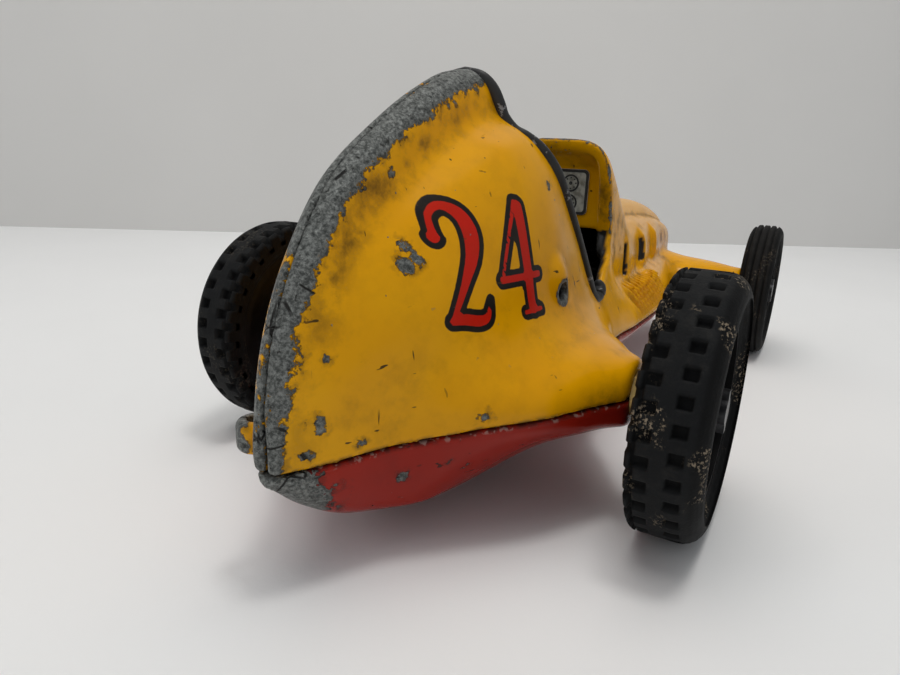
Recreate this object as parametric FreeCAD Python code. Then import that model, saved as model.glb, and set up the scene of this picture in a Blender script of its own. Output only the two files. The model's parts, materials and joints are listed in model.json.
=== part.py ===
"""Cast toy racing car with a friction (flywheel) motor.

Frame: +X towards the nose, +Y towards the car's left, +Z up, origin at the middle of the
footprint on the ground. Body stations are given as distances ahead of the rear axle.
"""
import math
import os

import FreeCAD, Part
from FreeCAD import Vector as V

# ---- driving dimensions, millimetres ----
REAR_AXLE_X = -59.4
WHEELBASE = 158.8
FRONT_AXLE_X = REAR_AXLE_X + WHEELBASE
WALL = 2.4                      # thickness of the castings

REAR_TYRE_R = 28.5
REAR_TYRE_W = 15.0
REAR_TRACK_HALF = 57.5
FRONT_TYRE_R = 26.2
FRONT_TYRE_W = 12.3
FRONT_TRACK_HALF = 54.3
AXLE_R = 2.0
RUNNING = 0.05                  # radial clearance of a turning shaft

REAR_ARM_END = 45.5             # half-width over the rear axle fairings
FRONT_ARM_END = 47.8
BUSH_R = 3.6
BUSH_FLANGE_R = 5.2

LUG_X = -61.5                   # tether lug, ahead of the rear axle
LUG_Y = 7.0
LUG_R = 3.7
LUG_HOLE_R = 1.6
LUG_Z = (25.2, 33.2)

BOSS_X = 0.5                    # round boss on the right side of the cockpit
BOSS_Z = 48.5
BOSS_R = 4.6
BOSS_HOLE_R = 2.0

COAMING_R = 1.7

MODULE = 0.8
PRESSURE = math.radians(20.0)
AXLE_TEETH = 32
IDLER_TEETH = 30
PINION_TEETH = 10
BACKLASH = 0.16
IDLER_DROP = 6.5                # idler shaft below the rear axle
FLYWHEEL_LIFT = 7.7             # flywheel shaft above the idler shaft
SHAFT_R = 1.25
FLYWHEEL_R = 14.0
FLYWHEEL_W = 9.0
PLATE_Y = 11.0                  # inner face of each motor plate
PLATE_T = 1.2

# Half outlines of the body, from the crown to the keel: station ahead of the rear
# axle, then (half-width, height) pairs. The fifth and sixth points run along the flank
# and the joint line.
SECTIONS = [
    (-66.4, [(0, 35), (0.8, 33.4), (1.1, 31), (1.2, 29), (1.2, 27), (1.1, 25), (0.8, 23.4), (0, 22.4)]),
    (-64.0, [(0, 46.5), (2.0, 43), (2.5, 38), (2.8, 33), (2.8, 29), (2.6, 25), (1.8, 21.8), (0, 20.5)]),
    (-57.5, [(0, 61.2), (3.2, 57), (4.6, 50), (6.3, 42), (7.5, 33), (7.3, 25), (5, 17), (0, 14.4)]),
    (-47.0, [(0, 74.6), (3.6, 71), (5.8, 62), (10, 52), (13.2, 40), (13, 26), (9.5, 12.6), (0, 8)]),
    (-35.0, [(0, 82.7), (3.8, 79), (6.4, 70), (13, 60), (19, 46), (20.4, 28), (15, 9.6), (0, 5.8)]),
    (-20.0, [(0, 90.5), (4, 87), (7.4, 79), (15.5, 67), (22.5, 52), (26.5, 28), (17, 9), (0, 5)]),
    (-6.0, [(0, 95.4), (5, 92.6), (11.5, 85), (19, 72), (23.6, 55), (29, 28), (17, 9.4), (0, 5.4)]),
    (10.0, [(0, 95.6), (12, 90), (18.5, 79), (21.6, 66), (24.5, 49), (29.4, 28), (16.5, 11), (0, 7.6)]),
    (28.0, [(0, 88), (14, 84.6), (20, 77), (21.8, 63), (24.5, 46), (29.3, 28), (16, 13), (0, 10)]),
    (43.0, [(0, 82.6), (14, 81.4), (20.4, 76.5), (21.8, 62), (24.2, 46), (29.3, 28), (15.5, 15), (0, 12.5)]),
    (66.0, [(0, 70.5), (9.5, 68.6), (17, 61), (19.8, 51), (22.2, 39), (30.3, 28), (15, 17), (0, 14.6)]),
    (100.0, [(0, 65.2), (8.4, 63.4), (15, 57.5), (18.4, 49), (21, 38.6), (28, 27.4), (14.5, 17.6), (0, 15.2)]),
    (140.0, [(0, 60.6), (7.2, 59), (12.4, 54), (15.6, 46), (18.2, 37), (22, 26.6), (13, 18.2), (0, 16)]),
    (170.0, [(0, 54.6), (6, 53), (10.4, 49), (13.2, 43), (14.8, 36), (16, 26.4), (11.4, 19.4), (0, 17.2)]),
    (181.0, [(0, 51), (5.2, 49.6), (8.8, 46), (11.2, 41), (12.4, 35), (12.8, 27), (9, 21.4), (0, 19.4)]),
    (185.4, [(0, 46.5), (3.4, 45.4), (5.8, 42.8), (7.6, 39), (8.4, 34.6), (8.4, 29), (6, 25), (0, 23.4)]),
]
LONGEST_GAP = 24.0
CAVITY_FIRST = 2                # sections that the hollow starts and ends at
CAVITY_LAST = 14

# Side view of the line where the belly pan meets the upper castings.
JOINT_LINE = [(-90, 24.0), (-64, 24.4), (-45, 25.2), (-14, 28.5), (14, 28.5), (60, 28.0), (144, 26.2), (210, 26.2)]

# Side view of the cockpit opening, from the head fairing round to the cowl.
COCKPIT = [(-1, 110), (0.6, 94), (5, 79), (16, 64), (23, 49), (28.5, 42.6), (36, 45.4), (46, 50), (49, 58),
           (46, 69), (42.6, 80), (42.6, 110)]

# Rolled rim along the cockpit's edge, right-hand side, ending in a curl.
COAMING_PATH = [(0.4, 0, 96.0), (0.8, -5, 94.0), (2.4, -12, 87.6), (5, -17.6, 79), (10, -20.4, 71), (16, -21.9, 64),
                (20, -22.8, 56), (23.5, -23.8, 48.6), (28, -24.8, 43), (32.4, -25.2, 42.4), (34.6, -24.6, 45)]

PILLARS = [(7.0, 14.8), (-14.0, 36.8), (-33.0, 14.2), (12.6, 37.2)]
PLATE_OUTLINE = [(-36, 12), (-36, 34), (-20, 40.5), (15.5, 40.5), (15.5, 12)]
FEET_X = (2.0, -21.0)
FOOT_Z = 13.6
FOOT_Y = 14.8
# Each body screw has a twin on the other side: station, half-width, height of the pan's underside.
BODY_SCREWS = [(24.0, 17.0, 13.2), (108.0, 11.0, 15.6)]
SCREW_R = 1.4


def ahead(distance):
    """X of a point given by its distance ahead of the rear axle."""
    return REAR_AXLE_X + distance


def cyl_y(x, z, radius, y0, y1):
    """Round bar along Y."""
    return Part.makeCylinder(radius, abs(y1 - y0), V(x, min(y0, y1), z), V(0, 1, 0))


def cyl_z(x, y, radius, z0, z1):
    """Round bar along Z."""
    return Part.makeCylinder(radius, z1 - z0, V(x, y, z0), V(0, 0, 1))


def box(x0, x1, y0, y1, z0, z1):
    """Box between two corners, given in any order."""
    xs, ys, zs = sorted((x0, x1)), sorted((y0, y1)), sorted((z0, z1))
    return Part.makeBox(xs[1] - xs[0], ys[1] - ys[0], zs[1] - zs[0], V(xs[0], ys[0], zs[0]))


def prism_xz(points, y0, y1):
    """Side-view outline (distance ahead of the rear axle, height), extruded across the car."""
    corners = [V(ahead(x), y0, z) for x, z in points]
    face = Part.Face(Part.makePolygon(corners + corners[:1]))
    return face.extrude(V(0, y1 - y0, 0))


def section_wire(x, half):
    """Closed smooth outline across the car from its half outline."""
    right = [V(x, -y, z) for y, z in half]
    left = [V(x, y, z) for y, z in reversed(half[1:-1])]
    curve = Part.BSplineCurve()
    curve.interpolate(Points=right + left, PeriodicFlag=True)
    return Part.Wire(curve.toShape())


def inset(half, wall):
    """Half outline moved inwards by the wall, along its normals."""
    moved = []
    for i, (y, z) in enumerate(half):
        before = half[i - 1] if i else (-half[1][0], half[1][1])
        after = half[i + 1] if i + 1 < len(half) else (-half[-2][0], half[-2][1])
        dy = after[0] - before[0]
        dz = after[1] - before[1]
        length = math.hypot(dy, dz)
        inner_y = y + wall * dz / length
        inner_z = z - wall * dy / length
        on_centre = i in (0, len(half) - 1)
        moved.append((0.0 if on_centre else max(inner_y, 0.5), inner_z))
    return moved


def evenly_spaced(sections):
    """Sections with a halfway one added wherever two lie more than LONGEST_GAP apart."""
    filled = sections[:1]
    for (x0, half0), (x1, half1) in zip(sections, sections[1:]):
        if x1 - x0 > LONGEST_GAP:
            middle = [((y0 + y1) / 2, (z0 + z1) / 2) for (y0, z0), (y1, z1) in zip(half0, half1)]
            filled.append(((x0 + x1) / 2, middle))
        filled.append((x1, half1))
    return filled


def hull():
    """Outer form of the whole body."""
    return Part.makeLoft([section_wire(ahead(x), half) for x, half in evenly_spaced(SECTIONS)], True, False)


def cavity():
    """Hollow inside the castings: the outer form moved in by the wall, ends included."""
    inner = []
    for x, half in evenly_spaced(SECTIONS[CAVITY_FIRST:CAVITY_LAST]):
        shift = WALL * (x < -10) - WALL * (x > 160)
        inner.append((ahead(x + shift), inset(half, WALL)))
    return Part.makeLoft([section_wire(x, half) for x, half in inner], True, False)


def without_crumbs(shape):
    """The one real solid of a boolean result, without slivers left where faces graze."""
    return max(shape.Solids, key=lambda solid: solid.Volume)


def ellipse_y(x, y, z, rx, rz):
    """Elliptical outline in a plane across Y."""
    points = []
    for i in range(12):
        angle = 2 * math.pi * i / 12
        points.append(V(x + rx * math.cos(angle), y, z + rz * math.sin(angle)))
    curve = Part.BSplineCurve()
    curve.interpolate(Points=points, PeriodicFlag=True)
    return Part.Wire(curve.toShape())


def arm(axle_x, axle_z, side, outlines):
    """Axle fairing: ellipses (half-width, fore-and-aft radius, height radius)."""
    wires = [ellipse_y(axle_x, side * y, axle_z, rx, rz) for y, rx, rz in outlines]
    return Part.makeLoft(wires, True, False)


REAR_ARM = [(10, 38, 20), (20, 33, 19), (28, 24, 14.5), (36, 15, 9.8), (42, 9.5, 7.6), (REAR_ARM_END, 7, 6.8)]
FRONT_ARM = [(6, 17, 12), (16, 16, 12.6), (25, 14.4, 12.6), (34, 12, 11.6), (42, 9.6, 9.4), (FRONT_ARM_END, 8.6, 8.6)]


def bar(path, radius):
    """Round bar along a chain of points."""
    pieces = [Part.makeSphere(radius, point) for point in path]
    for a, b in zip(path, path[1:]):
        pieces.append(Part.makeCylinder(radius, (b - a).Length, a, b - a))
    return pieces[0].fuse(pieces[1:]).removeSplitter()


def coaming():
    """Rolled cockpit rim, one piece from curl to curl over the head fairing."""
    right = [V(ahead(x), y, z - COAMING_R) for x, y, z in COAMING_PATH]
    left = [V(p.x, -p.y, p.z) for p in right[1:]]
    return bar(list(reversed(left)) + right, COAMING_R)


def instrument_panel():
    """Printed gauge plate in the recess of the dashboard."""
    plate = box(ahead(49.3), ahead(50.0), -14, 14, 61.0, 74.0)
    edges = [e for e in plate.Edges if abs(e.tangentAt(e.FirstParameter).x) > 0.9]
    return plate.makeFillet(2.5, edges)


def castings():
    """Left and right upper castings, the belly pan and the tether lug at the tail."""
    outer = hull()
    inner = cavity()
    rear_z, front_z = REAR_TYRE_R, FRONT_TYRE_R
    for side in (-1, 1):
        outer = outer.fuse(arm(REAR_AXLE_X, rear_z, side, REAR_ARM))
        outer = outer.fuse(arm(FRONT_AXLE_X, front_z, side, FRONT_ARM))
    outer = outer.removeSplitter()
    boss = cyl_y(ahead(BOSS_X), BOSS_Z, BOSS_R, -25.6, -20.5)
    shell = outer.fuse(boss).cut(inner)
    dash_web = box(ahead(50.0), ahead(52.6), -30, 30, 57, 90).common(outer)
    shell = shell.fuse(dash_web)
    below = prism_xz(JOINT_LINE + [(210, -20), (-90, -20)], -80, 80)
    upper = shell.cut(below)
    pan = shell.common(below)
    for x, y, floor in BODY_SCREWS:
        for side in (-1, 1):
            rib = box(ahead(x - 1.4), ahead(x + 1.4), side * (y - 3), side * 40, 28.6, 37).common(outer)
            post = cyl_z(ahead(x), side * y, 3.6, floor + WALL + 1.5, 37).common(outer)
            upper = upper.fuse(rib.cut(pan)).fuse(post.cut(pan))
            pan = pan.fuse(cyl_z(ahead(x), side * y, 4.6, floor + 0.6, floor + WALL + 1.5))
            hole = cyl_z(ahead(x), side * y, SCREW_R, -1, 34)
            upper = upper.cut(hole)
            pan = pan.cut(hole).cut(cyl_z(ahead(x), side * y, 3.1, -1, floor + 1.6))
    for x in FEET_X:
        for side in (-1, 1):
            post = cyl_z(ahead(x), side * FOOT_Y, 2.4, 6, FOOT_Z).common(outer)
            pan = pan.fuse(post).cut(cyl_z(ahead(x), side * FOOT_Y, 1.0, 9, FOOT_Z + 1))
    cutters = [
        prism_xz(COCKPIT, -40, 40),
        cyl_y(ahead(BOSS_X), BOSS_Z, BOSS_HOLE_R, -30, -15),
        cyl_y(REAR_AXLE_X, rear_z, AXLE_R + 0.6, -50, 50),
        cyl_y(REAR_AXLE_X, rear_z, BUSH_R, -50, -38.5),
        cyl_y(REAR_AXLE_X, rear_z, BUSH_R, 38.5, 50),
        cyl_y(FRONT_AXLE_X, front_z, AXLE_R, -50, 50),
    ]
    upper = upper.cut(cutters)
    pan = pan.cut(cutters[2:])
    lug = cyl_z(ahead(LUG_X), LUG_Y, LUG_R, *LUG_Z)
    lug = lug.fuse(box(ahead(LUG_X) - LUG_R, ahead(LUG_X) + LUG_R, 2.0, LUG_Y, *LUG_Z))
    lug = lug.cut(cyl_z(ahead(LUG_X), LUG_Y, LUG_HOLE_R, 0, 60)).cut(outer)
    left = upper.common(box(-200, 200, 0, 80, -10, 120))
    right = upper.common(box(-200, 200, -80, 0, -10, 120))
    return [without_crumbs(casting) for casting in (left, right, pan, lug)]


def body_screws():
    """Four round-head screws that hold the pan to the upper castings."""
    screws = []
    for x, y, floor in BODY_SCREWS:
        for side in (-1, 1):
            seat = floor + 1.6
            head = cyl_z(ahead(x), side * y, 2.7, seat - 1.6, seat)
            head = head.cut(box(ahead(x) - 3, ahead(x) + 3, side * y - 0.35, side * y + 0.35, seat - 1.7, seat - 0.8))
            screws.append(head.fuse(cyl_z(ahead(x), side * y, SCREW_R, seat, 33)))
    return screws


def turned(profile, axle_x, axle_z, centre_y, side):
    """Ring from a (radius, offset outboard) outline, turned about an axle."""
    points = [V(axle_x, centre_y * side + offset * side, axle_z + radius) for radius, offset in profile]
    face = Part.Face(Part.makePolygon(points + points[:1]))
    return face.revolve(V(axle_x, 0, axle_z), V(0, 1, 0), 360)


def tyre(axle_x, radius, width, track, side):
    """Tyre ring: flat tread, rounded shoulders, rim seat."""
    half = width / 2
    seat = radius * 0.74
    bead = radius * 0.80
    profile = [(seat, -half * 0.7), (bead, -half * 0.78), (radius * 0.90, -half), (radius * 0.955, -half),
               (radius, -half * 0.80), (radius, half * 0.80), (radius * 0.955, half), (radius * 0.90, half),
               (bead, half * 0.78), (seat, half * 0.7)]
    return turned(profile, axle_x, radius, track, side)


def wheel(axle_x, radius, width, track, bore, hub_in, hub_out, side):
    """Dished wheel disc with its hub; hub ends are half-widths from the car's middle."""
    half = width / 2
    seat = radius * 0.74
    hub_r = radius * 0.22
    profile = [(bore, hub_in - track), (hub_r, hub_in - track), (hub_r, -1.4), (seat - 1.6, -1.4),
               (seat - 1.6, -half * 0.7), (seat, -half * 0.7), (seat, half * 0.7), (seat - 1.6, half * 0.7),
               (seat - 1.6, 1.0), (hub_r, 1.0), (hub_r, hub_out - track), (bore, hub_out - track)]
    return turned(profile, axle_x, radius, track, side)


def spinner(axle_x, axle_z, y0, y1, side):
    """Two-eared knock-off nut on the axle's end."""
    body = cyl_y(axle_x, axle_z, 3.0, side * y0, side * y1)
    ears = box(axle_x - 1.1, axle_x + 1.1, side * (y1 - 1.6), side * y1, axle_z - 4.6, axle_z + 4.6)
    return body.fuse(ears).cut(cyl_y(axle_x, axle_z, AXLE_R, side * (y0 - 1), side * (y1 - 0.8)))


def involute(angle):
    return math.tan(angle) - angle


def gear(x, z, teeth, addendum, dedendum, tooth_at, y0, y1, bore):
    """Spur gear along Y with one tooth centred on the angle tooth_at (in the XZ plane)."""
    pitch_r = MODULE * teeth / 2
    base_r = pitch_r * math.cos(PRESSURE)
    tip_r = pitch_r + addendum
    root_r = pitch_r - dedendum
    start_r = max(base_r, root_r)
    half_pitch = math.pi / (2 * teeth) - BACKLASH / (2 * pitch_r)
    flank = [(root_r, half_pitch + involute(PRESSURE))] if root_r < base_r else []
    for i in range(4):
        r = start_r + (tip_r - start_r) * i / 3
        flank.append((r, half_pitch + involute(PRESSURE) - involute(math.acos(min(1.0, base_r / r)))))
    points = []
    for tooth in range(teeth):
        centre = tooth_at + 2 * math.pi * tooth / teeth
        for r, half in flank:
            points.append(V(x + r * math.cos(centre - half), y0, z + r * math.sin(centre - half)))
        for r, half in reversed(flank):
            points.append(V(x + r * math.cos(centre + half), y0, z + r * math.sin(centre + half)))
    face = Part.Face(Part.makePolygon(points + points[:1]))
    return face.extrude(V(0, y1 - y0, 0)).cut(cyl_y(x, z, bore, y0 - 1, y1 + 1))


def motor():
    """Friction motor: two plates on pillars, axle gear, idler and flywheel."""
    axle = (REAR_AXLE_X, REAR_TYRE_R)
    first = MODULE * (AXLE_TEETH + PINION_TEETH) / 2
    second = MODULE * (IDLER_TEETH + PINION_TEETH) / 2
    idler = (axle[0] - math.sqrt(first ** 2 - IDLER_DROP ** 2), axle[1] - IDLER_DROP)
    fly = (idler[0] - math.sqrt(second ** 2 - FLYWHEEL_LIFT ** 2), idler[1] + FLYWHEEL_LIFT)
    to_idler = math.atan2(idler[1] - axle[1], idler[0] - axle[0])
    to_fly = math.atan2(fly[1] - idler[1], fly[0] - idler[0])
    half_step = math.pi / PINION_TEETH
    stub = 0.6 * MODULE
    pinion_tip = 0.8 * MODULE
    parts = {}
    parts["axle_gear"] = gear(*axle, AXLE_TEETH, stub, pinion_tip + 0.2, to_idler, 5.5, 9.5, AXLE_R)
    parts["idler_pinion"] = gear(*idler, PINION_TEETH, pinion_tip, stub + 0.24, to_idler + math.pi + half_step,
                                 5.2, 9.8, SHAFT_R)
    parts["idler_gear"] = gear(*idler, IDLER_TEETH, stub, pinion_tip + 0.2, to_fly, -8.6, -5.8, SHAFT_R)
    parts["flywheel_pinion"] = gear(*fly, PINION_TEETH, pinion_tip, stub + 0.24, to_fly + math.pi + half_step,
                                    -9.0, -5.2, SHAFT_R)
    parts["idler_shaft"] = cyl_y(*idler, SHAFT_R, -13.2, 13.2)
    parts["flywheel_shaft"] = cyl_y(*fly, SHAFT_R, -13.2, 13.2)
    rim = cyl_y(*fly, FLYWHEEL_R, -FLYWHEEL_W / 2, FLYWHEEL_W / 2)
    for side in (-1, 1):
        recess = cyl_y(*fly, FLYWHEEL_R - 3.5, side * 2.6, side * 6).cut(cyl_y(*fly, 4.0, side * 2.6, side * 6))
        rim = rim.cut(recess)
    parts["flywheel"] = rim.cut(cyl_y(*fly, SHAFT_R, -10, 10))
    pillars = []
    for x, z in PILLARS:
        pillars.append(cyl_y(ahead(x), z, 1.7, -PLATE_Y, PLATE_Y))
    parts["motor_pillars"] = Part.makeCompound(pillars)
    screws = []
    for side, name in ((1, "left"), (-1, "right")):
        outer_y = side * (PLATE_Y + PLATE_T)
        plate = prism_xz(PLATE_OUTLINE, side * PLATE_Y, outer_y)
        for x in FEET_X:
            foot = box(ahead(x - 3), ahead(x + 3), side * PLATE_Y, side * 17.4, FOOT_Z, FOOT_Z + PLATE_T)
            plate = plate.fuse(foot)
            hole = cyl_z(ahead(x), side * FOOT_Y, 1.0, FOOT_Z - 1, FOOT_Z + 3)
            plate = plate.cut(hole)
            shank = cyl_z(ahead(x), side * FOOT_Y, 1.0, 9.4, FOOT_Z + PLATE_T)
            screws.append(shank.fuse(cyl_z(ahead(x), side * FOOT_Y, 2.0, FOOT_Z + PLATE_T, FOOT_Z + PLATE_T + 1.2)))
        for x, z, radius in (axle + (AXLE_R,), idler + (SHAFT_R,), fly + (SHAFT_R,)):
            plate = plate.cut(cyl_y(x, z, radius + RUNNING, side * 8, side * 16))
        parts["motor_plate_" + name] = plate
    parts["motor_screws"] = Part.makeCompound(screws)
    return parts


def running_gear():
    """Axles, bushes, wheels, tyres and knock-off nuts."""
    parts = {}
    parts["rear_axle"] = cyl_y(REAR_AXLE_X, REAR_TYRE_R, AXLE_R, -63.4, 63.4)
    parts["front_axle"] = cyl_y(FRONT_AXLE_X, FRONT_TYRE_R, AXLE_R, -59.4, 59.4)
    washers = []
    for side, name in ((1, "left"), (-1, "right")):
        bush = cyl_y(REAR_AXLE_X, REAR_TYRE_R, BUSH_R, side * 38.5, side * REAR_ARM_END)
        bush = bush.fuse(cyl_y(REAR_AXLE_X, REAR_TYRE_R, BUSH_FLANGE_R, side * REAR_ARM_END, side * 46.5))
        parts["rear_bush_" + name] = bush.cut(cyl_y(REAR_AXLE_X, REAR_TYRE_R, AXLE_R + RUNNING, -50, 50))
        parts["rear_wheel_" + name] = wheel(REAR_AXLE_X, REAR_TYRE_R, REAR_TYRE_W, REAR_TRACK_HALF, AXLE_R, 46.9,
                                            60.6, side)
        parts["rear_tyre_" + name] = tyre(REAR_AXLE_X, REAR_TYRE_R, REAR_TYRE_W, REAR_TRACK_HALF, side)
        parts["rear_spinner_" + name] = spinner(REAR_AXLE_X, REAR_TYRE_R, 60.6, 64.4, side)
        parts["front_wheel_" + name] = wheel(FRONT_AXLE_X, FRONT_TYRE_R, FRONT_TYRE_W, FRONT_TRACK_HALF,
                                             AXLE_R + RUNNING, 49.1, 56.4, side)
        parts["front_tyre_" + name] = tyre(FRONT_AXLE_X, FRONT_TYRE_R, FRONT_TYRE_W, FRONT_TRACK_HALF, side)
        parts["front_spinner_" + name] = spinner(FRONT_AXLE_X, FRONT_TYRE_R, 56.8, 60.2, side)
        washer = cyl_y(FRONT_AXLE_X, FRONT_TYRE_R, 4.2, side * FRONT_ARM_END, side * 48.7)
        washers.append(washer.cut(cyl_y(FRONT_AXLE_X, FRONT_TYRE_R, AXLE_R, -50, 50)))
    parts["front_washers"] = Part.makeCompound(washers)
    return parts


def main():
    os.makedirs("parts", exist_ok=True)
    left, right, pan, lug = castings()
    nodes = {"body_shell_left": left, "body_shell_right": right, "belly_pan": pan, "tether_lug": lug}
    nodes["cockpit_coaming"] = coaming()
    nodes["instrument_panel"] = instrument_panel()
    nodes["body_screws"] = Part.makeCompound(body_screws())
    nodes.update(running_gear())
    nodes.update(motor())
    for name, shape in nodes.items():
        shape.exportStep("parts/" + name + ".step")
        print(name, len(shape.Solids), round(shape.Volume, 1), shape.isValid())


main()
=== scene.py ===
"""Looks of the cast toy racing car: castings, tyres, trim and studio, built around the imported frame."""
import functools
import json
import math

import bmesh
import bpy
import numpy as np
from mathutils import Matrix, Vector


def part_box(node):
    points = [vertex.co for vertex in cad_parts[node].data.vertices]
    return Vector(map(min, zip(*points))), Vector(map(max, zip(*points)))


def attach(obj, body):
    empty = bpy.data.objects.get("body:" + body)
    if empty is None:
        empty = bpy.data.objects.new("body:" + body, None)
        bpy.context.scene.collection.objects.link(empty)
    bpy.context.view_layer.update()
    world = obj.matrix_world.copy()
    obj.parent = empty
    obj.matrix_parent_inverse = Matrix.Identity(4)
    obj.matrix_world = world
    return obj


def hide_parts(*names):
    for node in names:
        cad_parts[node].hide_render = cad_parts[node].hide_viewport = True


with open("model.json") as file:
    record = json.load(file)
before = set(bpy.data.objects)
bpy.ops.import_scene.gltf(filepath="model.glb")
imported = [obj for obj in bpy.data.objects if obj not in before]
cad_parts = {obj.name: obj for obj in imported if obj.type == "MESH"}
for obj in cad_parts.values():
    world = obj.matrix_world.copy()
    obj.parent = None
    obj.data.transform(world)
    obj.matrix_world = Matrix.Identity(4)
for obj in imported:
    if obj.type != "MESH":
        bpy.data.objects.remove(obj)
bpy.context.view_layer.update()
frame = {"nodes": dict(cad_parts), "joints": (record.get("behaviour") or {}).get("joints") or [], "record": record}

MM = 0.001
JOINTS = {joint["name"]: joint for joint in frame["joints"]}
REAR_AXLE = np.array(JOINTS["rear_axle_spin"]["pos_m"]) / MM
FRONT_AXLE = np.array(JOINTS["front_wheel_left_spin"]["pos_m"]) / MM
FRONT_AHEAD = (FRONT_AXLE - REAR_AXLE)[0]


def linked(name, data):
    """New object in the scene with the given data."""
    thing = bpy.data.objects.new(name, data)
    bpy.context.scene.collection.objects.link(thing)
    return thing


# ---- camera
CAMERA_AHEAD = -137.9  # camera's place, mm ahead of the rear axle
CAMERA_Y = -76.2
CAMERA_Z = 79.4
CAMERA_YAW = 0.5165  # radians from +X towards +Y
CAMERA_PITCH = -0.2862
CAMERA_ROLL = 0.0349
LENS = 26.11
SENSOR = 36.0


def add_camera():
    forward = Vector((math.cos(CAMERA_PITCH) * math.cos(CAMERA_YAW),
                      math.cos(CAMERA_PITCH) * math.sin(CAMERA_YAW), math.sin(CAMERA_PITCH)))
    level = forward.cross(Vector((0, 0, 1))).normalized()
    upright = level.cross(forward)
    right = level * math.cos(CAMERA_ROLL) + upright * math.sin(CAMERA_ROLL)
    up = upright * math.cos(CAMERA_ROLL) - level * math.sin(CAMERA_ROLL)
    data = bpy.data.cameras.new("camera")
    data.lens = LENS
    data.sensor_width = SENSOR
    data.clip_start = 0.005
    camera = linked("camera", data)
    turn = Matrix((right, up, -forward)).transposed().to_4x4()
    place = Vector((REAR_AXLE[0] + CAMERA_AHEAD, CAMERA_Y, CAMERA_Z)) * MM
    camera.matrix_world = Matrix.Translation(place) @ turn
    bpy.context.scene.camera = camera


# ---- numeric helpers
def hermite(x, xs, ys):
    """Smooth curve through the points (xs, ys) that never overshoots; straight beyond its ends."""
    xs = np.asarray(xs, float)
    ys = np.asarray(ys, float)
    h = np.diff(xs)
    slope = np.diff(ys) / h
    tangent = np.empty(len(xs))
    tangent[0], tangent[-1] = slope[0], slope[-1]
    a, b = slope[:-1], slope[1:]
    with np.errstate(divide="ignore", invalid="ignore"):
        tangent[1:-1] = np.where(a * b > 0, 3 * (h[:-1] + h[1:])
                                 / ((2 * h[1:] + h[:-1]) / a + (h[1:] + 2 * h[:-1]) / b), 0)
    i = np.clip(np.searchsorted(xs, x) - 1, 0, len(h) - 1)
    t = (x - xs[i]) / h[i]
    inside = np.clip(t, 0, 1)
    t2, t3 = inside ** 2, inside ** 3
    value = ((2 * t3 - 3 * t2 + 1) * ys[i] + (t3 - 2 * t2 + inside) * h[i] * tangent[i]
             + (3 * t2 - 2 * t3) * ys[i + 1] + (t3 - t2) * h[i] * tangent[i + 1])
    return value + (t - inside) * h[i] * np.where(t < 0, tangent[i], tangent[i + 1])


def smooth_min(a, b, reach):
    """Union of two fields with a fillet about `reach` mm wide."""
    h = np.clip(0.5 + 0.5 * (b - a) / reach, 0, 1)
    return b + (a - b) * h - reach * h * (1 - h)


def smooth_step(x, low, high):
    t = np.clip((x - low) / (high - low), 0, 1)
    return t * t * (3 - 2 * t)


def blurred(field, passes, axes):
    """Field softened by repeated three-point averages along the given axes."""
    for _ in range(passes):
        for axis in axes:
            padded = np.concatenate([field.take([0], axis), field, field.take([-1], axis)], axis)
            n = field.shape[axis]
            field = (padded.take(range(n), axis) + 2 * field + padded.take(range(2, n + 2), axis)) / 4
    return field


def meet(*fields):
    """What all the forms have in common."""
    return functools.reduce(np.maximum, fields)


def cut_out(form, *holes):
    """Form without the holes."""
    return meet(form, *(-hole for hole in holes))


def cylinder(a, b, radius):
    """Field of an endless round bar, from two offsets across it."""
    return np.sqrt(a ** 2 + b ** 2) - radius


def to_segment(x, z, start, end):
    """Distance in side view to a straight piece of line, and the nearest point's share of its length."""
    dx, dz = end[0] - start[0], end[1] - start[1]
    t = np.clip(((x - start[0]) * dx + (z - start[1]) * dz) / (dx * dx + dz * dz), 0, 1)
    return np.hypot(x - start[0] - t * dx, z - start[1] - t * dz), t


def line_distance(x, z, path):
    """Distance in side view to an open line."""
    return functools.reduce(np.minimum, (to_segment(x, z, a, b)[0] for a, b in zip(path, path[1:])))


def polygon_distance(x, z, corners):
    """Signed distance to a closed outline in side view, negative inside."""
    closed = corners + corners[:1]
    distance = line_distance(x, z, closed)
    inside = np.zeros(distance.shape, bool)
    for (x0, z0), (x1, z1) in zip(closed, closed[1:]):
        crosses = (z0 > z) != (z1 > z)
        inside ^= crosses & (x < x0 + (z - z0) * (x1 - x0) / ((z1 - z0) or 1e-9))
    return np.where(inside, -distance, distance)


def spline_points(path, per_span):
    """Smooth curve through the points of a path."""
    path = np.array(path, float)
    gaps = np.concatenate([[0], np.cumsum(np.linalg.norm(np.diff(path, axis=0), axis=1))])
    at = np.linspace(0, gaps[-1], per_span * (len(path) - 1) + 1)
    ghost = np.vstack([2 * path[0] - path[1], path, 2 * path[-1] - path[-2]])
    out = []
    for s in at:
        i = min(max(int(np.searchsorted(gaps, s)) - 1, 0), len(path) - 2)
        t = (s - gaps[i]) / (gaps[i + 1] - gaps[i])
        a, b, c, d = ghost[i:i + 4]
        out.append(0.5 * ((2 * b) + (c - a) * t + (2 * a - 5 * b + 4 * c - d) * t ** 2
                          + (3 * b - a - 3 * c + d) * t ** 3))
    return np.array(out)


FAR = 60.0  # starting distance, mm, well past any clip that follows


def stroke_distance(x, z, strokes):
    """Signed distance to a figure drawn with strokes; each point is (x, z, half the stroke's width)."""
    best = np.full(np.shape(x), FAR)
    for stroke in strokes:
        path = spline_points(stroke, 5) if len(stroke) > 2 else np.array(stroke, float)
        for start, end in zip(path, path[1:]):
            distance, t = to_segment(x, z, start, end)
            best = np.minimum(best, distance - start[2] - t * (end[2] - start[2]))
    return best


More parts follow.
